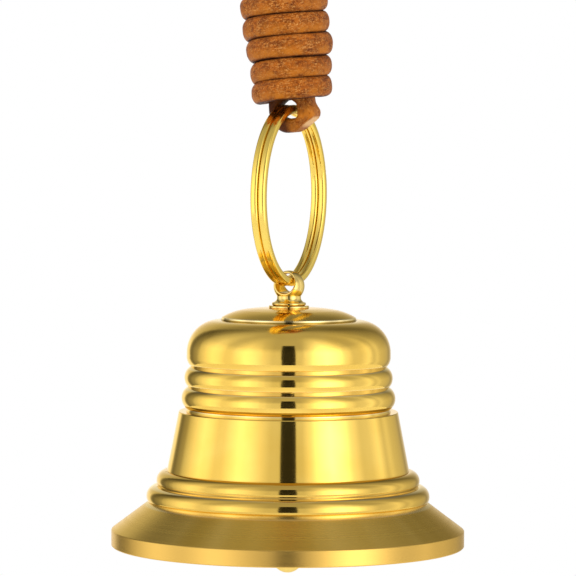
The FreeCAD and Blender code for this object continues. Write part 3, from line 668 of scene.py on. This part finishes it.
def binding():
    """The cord wound round both strands. It stays square to the grip in front and climbs behind."""
    right = (Vector((1, 0, 0)) - UP * UP.x).normalized()
    front = right.cross(UP)
    steps_per_turn = 110
    first, last = -CORD_TAIL, BINDING_TURNS + CORD_TAIL
    total = int((last - first) * steps_per_turn)
    section = superellipse(CORD_HALF_DEPTH, CORD_HALF_HEIGHT, 2.3, 40)
    places = [first + (last - first) * i / total for i in range(total + 1)]
    route = [cord_centre(place, front, right) for place in places]
    rings, lengths = [], []
    length = 0.0
    for i, (centre, outward, spread) in enumerate(route):
        after = route[min(i + 1, total)][0]
        before = route[max(i - 1, 0)][0]
        tangent = (after - before).normalized()
        upright = (UP - tangent * UP.dot(tangent)).normalized()
        out = upright.cross(tangent).normalized()
        if out.dot(outward) < 0:
            out = -out
        ring = []
        for depth, height in section:
            offset = out * depth * spread[0] + upright * height * spread[1]
            p = centre + offset
            ring.append(p + offset.normalized() * unevenness(p, (2.6, 0.10), (0.8, 0.035)))
        rings.append(ring)
        lengths.append(length)
        length += (after - centre).length
    piece = tube_mesh("binding", rings, lengths, closed=False)
    face_outward(piece)
    piece.data.materials.append(leather("binding_leather", wound=True))
    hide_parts("binding_cord")
    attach(piece, "handle")
    print("binding cord length mm", round(length / MM, 1))


# ---------------------------------------------------------------- materials of the CAD nodes


def paint(node, material):
    """Gives every material slot of a CAD node's object the one material."""
    piece = frame["nodes"][node]
    for slot in piece.material_slots:
        slot.material = material


def paint_metals():
    """Brass on the bell, its outer hardware, the clapper and the ring, and steel on what clamps."""
    paint("bell_shell", bell_brass())
    hardware = polished_brass("hardware_brass", HARDWARE_BRASS, roughness=0.11, turned=True)
    for node in (
        "eye_bolt", "crown_washer", "clapper_hanger", "clapper_link",
        "clapper_rod", "clapper_ball", "clapper_cap_nut",
    ):
        paint(node, hardware)
    ring = polished_brass("ring_brass", RING_BRASS, roughness=0.15, turned=False)
    paint("split_ring", ring)
    steel = plated_steel()
    for node in ("inner_washer", "lock_washer", "crown_nut"):
        paint(node, steel)


# ---------------------------------------------------------------- studio


class Studio(Nodes):
    """The world's nodes. Directions are in degrees."""

    def __init__(self):
        world = bpy.data.worlds.new("studio")
        bpy.context.scene.world = world
        super().__init__(world)

    def degrees(self, radians):
        return self.product(radians, 180 / math.pi)

    def blended(self, first, second):
        return self.mix(1.0, first, second, "MULTIPLY")

    def profile(self, value, low, high, stops):
        """Brightness by a value, straight between stops."""
        scaled = self.add("MapRange", {"Value": value, "From Min": low, "From Max": high})
        ramp = self.add("ValToRGB", {"Fac": scaled.outputs["Result"]})
        elements = ramp.color_ramp.elements
        while len(elements) < len(stops):
            elements.new(0.5)
        for element, (place, level) in zip(elements, stops):
            element.position = (place - low) / (high - low)
            element.color = (level, level, level, 1)
        return ramp.outputs["Color"]

    def by_tilt(self, tilt, stops):
        return self.profile(tilt, -90.0, 90.0, stops)

    def glow(self, colour, strength):
        inputs = {"Color": colour, "Strength": strength}
        return self.add("Background", inputs).outputs["Background"]


def studio_light():
    """A white backdrop, two tall soft boxes with a dark gap between them, and a dim ceiling.

    Turn is in degrees from the front, positive to the right. Side is its size without the sign.
    Tilt is in degrees above the horizon. A stop is (degrees, brightness).
    """
    w = Studio()
    direction = w.add("TexCoord").outputs["Generated"]
    x, y, z = w.add("SeparateXYZ", {"Vector": direction}).outputs
    turn = w.degrees(w.math("ARCTAN2", x, w.product(y, -1.0)))
    tilt = w.degrees(w.math("ARCSINE", z))
    side = w.math("ABSOLUTE", turn)

    # Round the horizon: the two soft boxes are the bright humps at -50 and 44 degrees.
    around = w.profile(turn, -180.0, 180.0, [
        (-180, 0.42), (-152, 0.40), (-146, 0.10), (-141, 0.07), (-134, 0.11), (-127, 0.14),
        (-121, 0.24), (-113, 0.32), (-96, 0.50), (-86, 0.46), (-77, 0.35), (-68, 0.36),
        (-50, 0.58), (-39, 0.50), (-29, 0.37), (-18, 0.275), (14, 0.275), (23, 0.42),
        (34, 0.75), (44, 0.95), (55, 0.75), (67, 0.42), (79, 0.28), (90, 0.30), (102, 0.40),
        (112, 0.25), (119, 0.31), (127, 0.25), (146, 0.20), (154, 0.14), (172, 0.30), (180, 0.42),
    ])
    overhead = w.by_tilt(tilt, [(-90, 0.0), (35, 0.0), (75, 1.0), (90, 1.0)])
    level = w.mix(overhead, around, CEILING)

    # Upwards, the back falls off sooner than the front.
    front = w.by_tilt(tilt, [
        (-90, 1.0), (16, 1.0), (25, 0.85), (32, 0.68), (48, 0.54), (60, 0.47), (75, 0.38), (90, 0.40),
    ])
    rear = w.by_tilt(tilt, [
        (-90, 1.0), (3, 0.95), (10, 0.72), (20, 0.54), (33, 0.38), (40, 0.27), (53, 0.19),
        (60, 0.23), (75, 0.33), (90, 0.40),
    ])
    behind = w.profile(side, 0.0, 180.0, [(0, 0.0), (115, 0.0), (150, 1.0), (180, 1.0)])
    level = w.blended(level, w.mix(behind, front, rear))

    # The dark gap in front is sharp edged. The dark flag high at the back is soft.
    gap = w.profile(side, 0.0, 30.0, [(0, 1.0), (7.5, 1.0), (8.1, 0.0), (30, 0.0)])
    gap_reach = w.by_tilt(tilt, [(-90, 0.96), (43, 0.96), (44.5, 0.0), (90, 0.0)])
    level = w.mix(w.blended(gap, gap_reach), level, BLACK)
    flag = w.profile(side, 0.0, 180.0, [(0, 0.0), (154, 0.0), (166, 1.0), (180, 1.0)])
    flag_reach = w.by_tilt(tilt, [
        (-90, 0.0), (58, 0.0), (66, 0.8), (80, 0.8), (86, 0.0), (90, 0.0),
    ])
    level = w.mix(w.blended(flag, flag_reach), level, BLACK)

    seen = w.add("LightPath").outputs["Is Camera Ray"]
    lights = {0: seen, 1: w.glow(level, SURROUND_STRENGTH), 2: w.glow(WHITE, 1.0)}
    joined = w.add("MixShader", lights)
    w.add("OutputWorld", {"Surface": joined.outputs[0]})


def soft_box(name, azimuth, elevation, power):
    """A soft area light aimed at the grip. It shapes the leather and isn't seen in the brass."""
    distance, size = 0.7, 0.35
    light = bpy.data.lights.new(name, "AREA")
    light.shape = "DISK"
    light.size = size
    light.energy = power
    lamp = bpy.data.objects.new(name, light)
    bpy.context.scene.collection.objects.link(lamp)
    a, e = math.radians(azimuth), math.radians(elevation)
    back = Vector((math.sin(a) * math.cos(e), -math.cos(a) * math.cos(e), math.sin(e)))
    lamp.location = WIRE + back * distance
    lamp.rotation_mode = "QUATERNION"
    lamp.rotation_quaternion = back.to_track_quat("Z", "Y")
    lamp.visible_glossy = False
    lamp.visible_camera = False


def floor():
    """A round pale floor a metre below, wide enough to show in the brass."""
    radius, depth, sides = 2.5, 1.0, 64
    mesh = bpy.data.meshes.new("floor")
    turns = [2 * math.pi * i / sides for i in range(sides)]
    rim = [(radius * math.cos(a), radius * math.sin(a), -depth) for a in turns]
    mesh.from_pydata(rim, [], [tuple(range(sides))])
    piece = bpy.data.objects.new("floor", mesh)
    bpy.context.scene.collection.objects.link(piece)
    s = Shader("floor")
    surface = s.finish(
        Base_Color=FLOOR_PALE, Roughness=0.9, Emission_Color=WHITE, Emission_Strength=0.45,
    )
    mesh.materials.append(surface)


def camera():
    """A long lens a little above the crown, looking slightly down."""
    distance = 583 * MM
    eye_height = 72.7 * MM
    aim_height = 43.1 * MM
    aim_side = -0.17 * MM
    roll_turn = math.radians(0.3)
    data = bpy.data.cameras.new("camera")
    data.lens = 218.75
    data.sensor_width = 36.0
    data.clip_start = 0.01
    data.clip_end = 20.0
    view = bpy.data.objects.new("camera", data)
    bpy.context.scene.collection.objects.link(view)
    view.location = (0, -distance, RIM + eye_height)
    aim = Vector((aim_side, 0, RIM + aim_height))
    look = (aim - view.location).to_track_quat("-Z", "Y")
    roll = Euler((0, 0, roll_turn)).to_quaternion()
    view.rotation_mode = "QUATERNION"
    view.rotation_quaternion = look @ roll
    bpy.context.scene.camera = view


# ---------------------------------------------------------------- the scene

bpy.context.scene.view_settings.view_transform = "Standard"
camera()
studio_light()
soft_box("key_light", azimuth=-35, elevation=30, power=3.0)
soft_box("fill_light", azimuth=50, elevation=10, power=1.5)
floor()
paint_metals()
lace()
binding()
